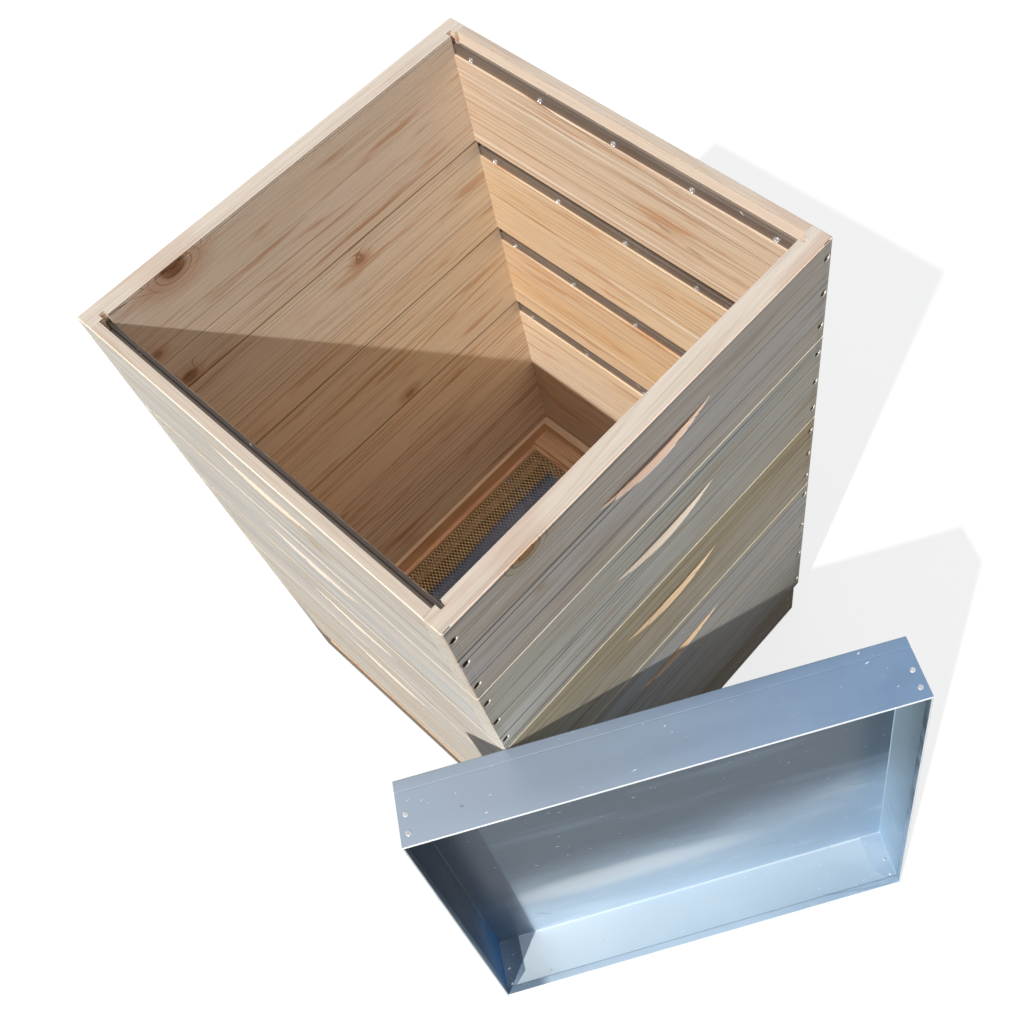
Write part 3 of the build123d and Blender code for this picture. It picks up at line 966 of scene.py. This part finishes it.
def lid_tones_and_light(finish, x, y, z, smear):
    """The zinc is greyer towards the left. Inside, a painted reflection makes it palest low on the sheet
    and on the lower side, with painted cloudy reflections and a painted highlight in it, and it darkens
    towards the top as painted shade. The left side and the strip of sheet beside it carry a painted shadow,
    and the right side and the lower side painted light. Wandering scratches and a dull smudge cross it. A
    painted highlight runs along the hems' rounded tops and along the fold at the foot, and a dark line runs
    along the hem's raw edge."""
    inside = finish.add("ShaderNodeAttribute", {"attribute_name": "inside"})
    marked = Field(finish.tree, inside.outputs["Fac"])
    swayed = y - x * 0.13 + (smear - 0.5) * 0.08
    high = swayed.ramp(0.1, 0.26)
    low = high.flip() * marked
    cloud = finish.noise(x * 7, y * 17, z * 17, detail=3.0)
    wander = finish.noise(x * 1.8, y * 7, z * 7, detail=1.5)
    broken = finish.noise(x * 9, y * 9, z * 9, detail=1.0).ramp(0.55, 0.62)
    scratch = (wander - 0.5).size().ramp(0.001, 0.003).flip() * broken
    aside = (x + 0.08) / 0.18
    above = (y - 0.125) / 0.035
    round_off = aside * aside + above * above + (cloud - 0.5) * 0.7
    painted_glow = round_off.ramp(0.0, 1.3).flip() * z.below(0.004)
    dull = ((y - 0.06) / 0.02).size().ramp(0.2, 1.0).flip() * x.ramp(-0.06, 0.1).flip()
    left = x.below(SHEET * 2 - LID / 2)
    right = x.above(LID / 2 - SHEET * 2)
    foot = y.below(SHEET * 2)
    crease = (y + z).below(0.0042) * x.above(-0.21)
    raw_edge = (z - hem_end).size().below(0.0007)
    return [
        (x.ramp(-0.2, 0.29).flip() * 0.8, paint(155, 166, 180)),
        # Painted reflection: palest low on the sheet, bluer to the right, with painted cloudy reflections.
        (low * 0.9, paint(182, 204, 224)),
        (low * x.ramp(-0.02, 0.26) * 0.7, paint(128, 154, 180)),
        (low * cloud.ramp(0.5, 0.72) * 0.2, paint(230, 242, 250)),
        (low * cloud.ramp(0.3, 0.48).flip() * 0.18, paint(150, 180, 206)),
        # Painted shade: darker towards the top, with faint painted cloudy reflections.
        (marked * high * 0.95, paint(54, 74, 90)),
        (marked * high * cloud.ramp(0.5, 0.75) * 0.12, paint(104, 120, 132)),
        # Painted highlight low on the sheet.
        (marked * painted_glow * 0.42, paint(246, 252, 255)),
        (marked * dull * cloud.ramp(0.36, 0.64) * 0.16, paint(138, 164, 188)),
        # Painted light on the lower side, brightest at its left end.
        (marked * foot * 0.5, paint(194, 208, 216)),
        (marked * foot * x.ramp(-0.25, 0.0).flip() * 0.4, paint(236, 244, 248)),
        # Painted shadow of the left side on the sheet.
        (marked * x.ramp(-0.224, -0.206).flip() * foot.flip() * 0.7, paint(50, 76, 104)),
        # Painted shade on the left side, bluer lower down.
        (marked * left * 0.95, paint(30, 54, 80)),
        (marked * left * y.ramp(0.0, 0.22).flip() * 0.8, paint(84, 154, 218)),
        # Painted light on the right side.
        (marked * right * 0.9, paint(174, 200, 218)),
        # Painted highlight along the fold at the foot.
        (marked * crease * 0.25, paint(240, 246, 250)),
        (marked * scratch * 0.4, paint(92, 108, 122)),
        (marked * raw_edge * 0.4, paint(96, 112, 128)),
        # Painted highlight along the hems' rounded tops.
        (z.above(SKIRT - SHEET * 1.1) * 0.8, paint(244, 248, 252)),
    ]


# Its blue tint stands in for the sky that the zinc reflects: a painted reflection.
lid_zinc = galvanised(
    "lid_zinc", paint(113, 139, 170), paint(101, 127, 160), paint(146, 167, 189), over_lid, lid_tones_and_light
)
inside = {"inside": lid_inside}
piece("lid_sheet", on_lid(lid_points), lid_faces, lid_zinc, "lid", "lid", "lid_pan", marks=inside)


# Lid laps and rivets
# At each corner a tab of one side is lapped behind the next side and held by two bright blind rivets.
# A rivet's head is drawn as a small round screw head, whose recess stands for the hole in its middle.
LAP = 0.028
LAP_CUT = 0.014
LAP_PLAY = 0.0004
LAP_CORNERS = 5


def corner_lap(hand, level, turned):
    """A flat tab with one corner cut off: its outline, at the lap's two faces. hand is the end of the
    side that it lies behind, level that side's height on the sheet, and turned the way inward."""
    top = hem_end - LAP_PLAY
    end = LID / 2 - SHEET
    tip = end - LAP
    outline = np.array([[end, SHEET], [tip, SHEET], [tip, top - LAP_CUT], [tip + LAP_CUT, top], [end, top]])
    faces_at = level + turned * np.array([SHEET, 2 * SHEET])
    return np.stack([
        np.tile(outline[:, 0] * hand, 2),
        np.repeat(faces_at, LAP_CORNERS),
        np.tile(outline[:, 1], 2),
    ], axis=-1)


ring = np.arange(LAP_CORNERS)
after = (ring + 1) % LAP_CORNERS
lap_walls = np.stack([ring, after, after + LAP_CORNERS, ring + LAP_CORNERS], axis=-1)
# Each five-sided face is one triangle and one quad.
lap_caps = np.array([[0, 4, 3, 3], [0, 3, 2, 1], [5, 6, 7, 8], [5, 8, 9, 9]])
lap_faces = np.concatenate([lap_walls, lap_caps])
laps = [(1, 0.0, 1), (-1, 0.0, 1), (1, LID, -1), (-1, LID, -1)]
lap_points = np.concatenate([corner_lap(*lap) for lap in laps])
lap_all = np.concatenate([
    (lap_faces if hand * turned < 0 else lap_faces[:, ::-1]) + 2 * LAP_CORNERS * index
    for index, (hand, _, turned) in enumerate(laps)
])
inside = {"inside": np.ones(len(lap_points))}
piece("lid_laps", on_lid(lap_points), lap_all, lid_zinc, "lid", "lid", "lid_pan", marks=inside)

RIVET_R = 0.003
RIVET_DOME = 0.0009
RIVET_EDGE = 0.0003
RIVET_SHANK_R = 0.002
RIVET_LENGTH = 0.0032
RIVET_INSET = 0.0085
RIVET_RISES = (0.038, 0.058)
rivet_form = screw_form(RIVET_R, RIVET_DOME, RIVET_EDGE, RIVET_SHANK_R, RIVET_LENGTH, segments=16)
ends = np.array([(x, rise) for x in (RIVET_INSET - LID / 2, LID / 2 - RIVET_INSET) for rise in RIVET_RISES])
for name, level, outward in (("lid_rivets_lower", 0.0, -1.0), ("lid_rivets_upper", LID, 1.0)):
    seats = np.stack([ends[:, 0], np.full(len(ends), level), ends[:, 1]], axis=-1)
    facing = np.tile([0.0, outward, 0.0], (len(ends), 1))
    points, faces = many(rivet_form, seats, facing, (0.0, 0.0, 1.0))
    piece(name, on_lid(points), faces, zinc, "lid", "fastener", "lid_rivets")


# Stage
# A plain pale floor and a sky that is brightest overhead. Seen directly both are nearly white, and the
# light that they throw on the hive is dimmer. A sun stands high in front, and the camera looks down
# into the hive over its front right corner.
FLOOR_HALF = 30.0
FLOOR_GLOW = 0.78
floor_mesh = bpy.data.meshes.new("stage_floor")
square = [(x * FLOOR_HALF, y * FLOOR_HALF, 0.0) for x, y in ((-1, -1), (1, -1), (1, 1), (-1, 1))]
floor_mesh.from_pydata(square, [], [(0, 1, 2, 3)])
stage_floor = bpy.data.objects.new("stage_floor", floor_mesh)
bpy.context.scene.collection.objects.link(stage_floor)


def seen_directly(finish):
    """1 for rays from the camera or from a mirror-like or clear surface, else 0."""
    path = finish.add("ShaderNodeLightPath")
    rays = ("Is Camera Ray", "Is Glossy Ray", "Is Transmission Ray")
    seen, mirrored, through = (Field(finish.tree, path.outputs[name]) for name in rays)
    return seen.larger(mirrored).larger(through)


pale_floor = Finish(bpy.data.materials.new("pale_floor"))
direct = seen_directly(pale_floor)
matt = pale_floor.tree.nodes["Principled BSDF"]
floor_colour = pale_floor.mix(direct, paint(60, 60, 60), paint(238, 238, 238))
plug(pale_floor.tree, matt.inputs["Base Color"], floor_colour)
matt.inputs["Roughness"].default_value = 0.9
matt.inputs["Specular IOR Level"].default_value = 0.0
glow = pale_floor.add("ShaderNodeEmission", Strength=1.0)
blend = pale_floor.add("ShaderNodeMixShader")
plug(pale_floor.tree, blend.inputs[0], direct * FLOOR_GLOW)
pale_floor.tree.links.new(matt.outputs[0], blend.inputs[1])
pale_floor.tree.links.new(glow.outputs[0], blend.inputs[2])
pale_floor.tree.links.new(blend.outputs[0], pale_floor.tree.nodes["Material Output"].inputs["Surface"])
floor_mesh.materials.append(pale_floor.owner)

FILL = 0.045
OVERHEAD = 2.6
GATHERED = 8.0
SKY_BLUE = (0.94, 0.97, 1.0, 1.0)
WHITE = (1.0, 1.0, 1.0, 1.0)
scene = bpy.context.scene
scene.view_settings.view_transform = "Standard"
sky = Finish(bpy.data.worlds.new("studio"))
scene.world = sky.owner
background = sky.tree.nodes["Background"]
ray = Field(sky.tree, sky.add("ShaderNodeTexCoord").outputs["Generated"])
height = sky.split(ray)[2].larger(0.0)
thrown = height.math("POWER", GATHERED) * OVERHEAD + FILL
direct = seen_directly(sky)
plug(sky.tree, background.inputs["Color"], sky.mix(direct, SKY_BLUE, WHITE))
plug(sky.tree, background.inputs["Strength"], thrown * direct.flip() + direct)

sun = bpy.data.lights.new("key", "SUN")
sun.energy = 3.65
sun.angle = math.radians(0.8)
sun.color = (1.0, 0.965, 0.91)
key = bpy.data.objects.new("key", sun)
key.rotation_mode = "QUATERNION"
key.rotation_quaternion = Vector((-0.170, 0.608, -0.776)).to_track_quat("-Z", "Y")
scene.collection.objects.link(key)

camera_data = bpy.data.cameras.new("camera")
camera_data.sensor_width = 36.0
camera_data.lens = 43.13
camera_data.shift_x = -0.069
camera_data.shift_y = -0.041
camera = bpy.data.objects.new("camera", camera_data)
right = Vector((0.7336, 0.6706, -0.1099))
upward = Vector((-0.545, 0.6772, 0.4944))
turn = Matrix((right, upward, right.cross(upward))).transposed().to_4x4()
turn.translation = (0.6569, -0.3833, 1.7183)
camera.matrix_world = turn
scene.collection.objects.link(camera)
scene.camera = camera
